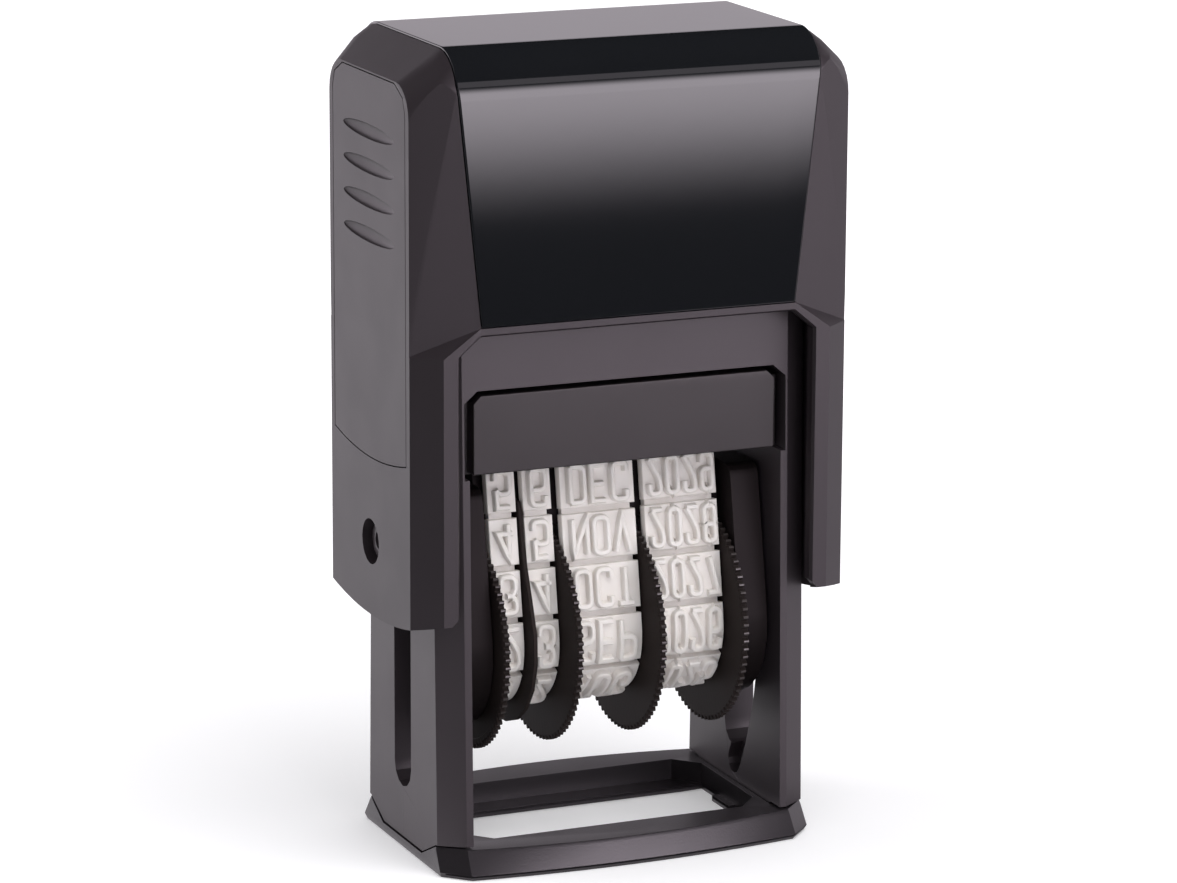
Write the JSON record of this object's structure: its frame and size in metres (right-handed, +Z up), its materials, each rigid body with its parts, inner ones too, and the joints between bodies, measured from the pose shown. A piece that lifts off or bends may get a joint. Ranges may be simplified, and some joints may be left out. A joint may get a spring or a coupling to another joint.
{
  "type": "self-inking date stamp",
  "caption": "Self-inking date stamp: a press-down handle over a slotted frame, a flipping holder with date bands and knurled setting wheels, and an ink cartridge.",
  "frame": {"origin": "on the floor under the middle of the frame", "axes": "+Z up, front towards -Y, +X to the right seen from the front"},
  "size_m": [0.0434, 0.0264, 0.077],
  "materials": {
    "shell_plastic": "fine matt moulded",
    "gloss_plastic": "polished",
    "frame_plastic": "fine matt moulded",
    "foot_plastic": "satin moulded",
    "black_plastic": "satin moulded",
    "wheel_plastic": "satin moulded",
    "band_rubber": "smooth",
    "pad_felt": "ink-soaked felt",
    "spring_steel": "drawn wire"
  },
  "bodies": {
    "frame": {"base_frame": "frame_plastic", "foot_ring": "foot_plastic", "ink_cartridge": "black_plastic", "ink_pad": "pad_felt", "main_spring": "spring_steel"},
    "handle": {"handle_shell": "shell_plastic", "gloss_cover": "gloss_plastic", "grip_panel_left": "shell_plastic", "grip_panel_right": "shell_plastic"},
    "module": {"module_cheek_left": "black_plastic", "module_cheek_right": "black_plastic", "band_platen": "black_plastic", "pivot_pin_left": "black_plastic", "pivot_pin_right": "black_plastic", "flip_pin_left": "black_plastic", "flip_pin_right": "black_plastic", "wheel_axle": "spring_steel", "day_divider": "black_plastic", "band_day_tens": "band_rubber", "band_day_units": "band_rubber", "band_month": "band_rubber", "band_year": "band_rubber"},
    "day_tens_wheel": {"wheel_day_tens": "wheel_plastic"},
    "day_units_wheel": {"wheel_day_units": "wheel_plastic"},
    "month_wheel": {"wheel_month": "wheel_plastic"},
    "year_wheel": {"wheel_year": "wheel_plastic"}
  },
  "joints": [
    {"name": "press", "type": "slide", "parent": "frame", "child": "handle", "axis": [0, 0, -1], "range_m": [0, 0.0217], "stiffness_N_per_m": 330, "springref_m": -0.009, "deforming": ["main_spring"]},
    {"name": "flip", "type": "hinge", "parent": "handle", "child": "module", "pos_m": [0, 0, 0.03], "axis": [1, 0, 0], "range_deg": [0, 180]},
    {"name": "set_day_tens", "type": "hinge", "parent": "module", "child": "day_tens_wheel", "pos_m": [0, 0, 0.01985], "axis": [1, 0, 0], "continuous": true},
    {"name": "set_day_units", "type": "hinge", "parent": "module", "child": "day_units_wheel", "pos_m": [0, 0, 0.01985], "axis": [1, 0, 0], "continuous": true},
    {"name": "set_month", "type": "hinge", "parent": "module", "child": "month_wheel", "pos_m": [0, 0, 0.01985], "axis": [1, 0, 0], "continuous": true},
    {"name": "set_year", "type": "hinge", "parent": "module", "child": "year_wheel", "pos_m": [0, 0, 0.01985], "axis": [1, 0, 0], "continuous": true}
  ],
  "couplings": [
    {"joint": "flip", "follows": "press", "rad_per_m": 144.77}
  ]
}
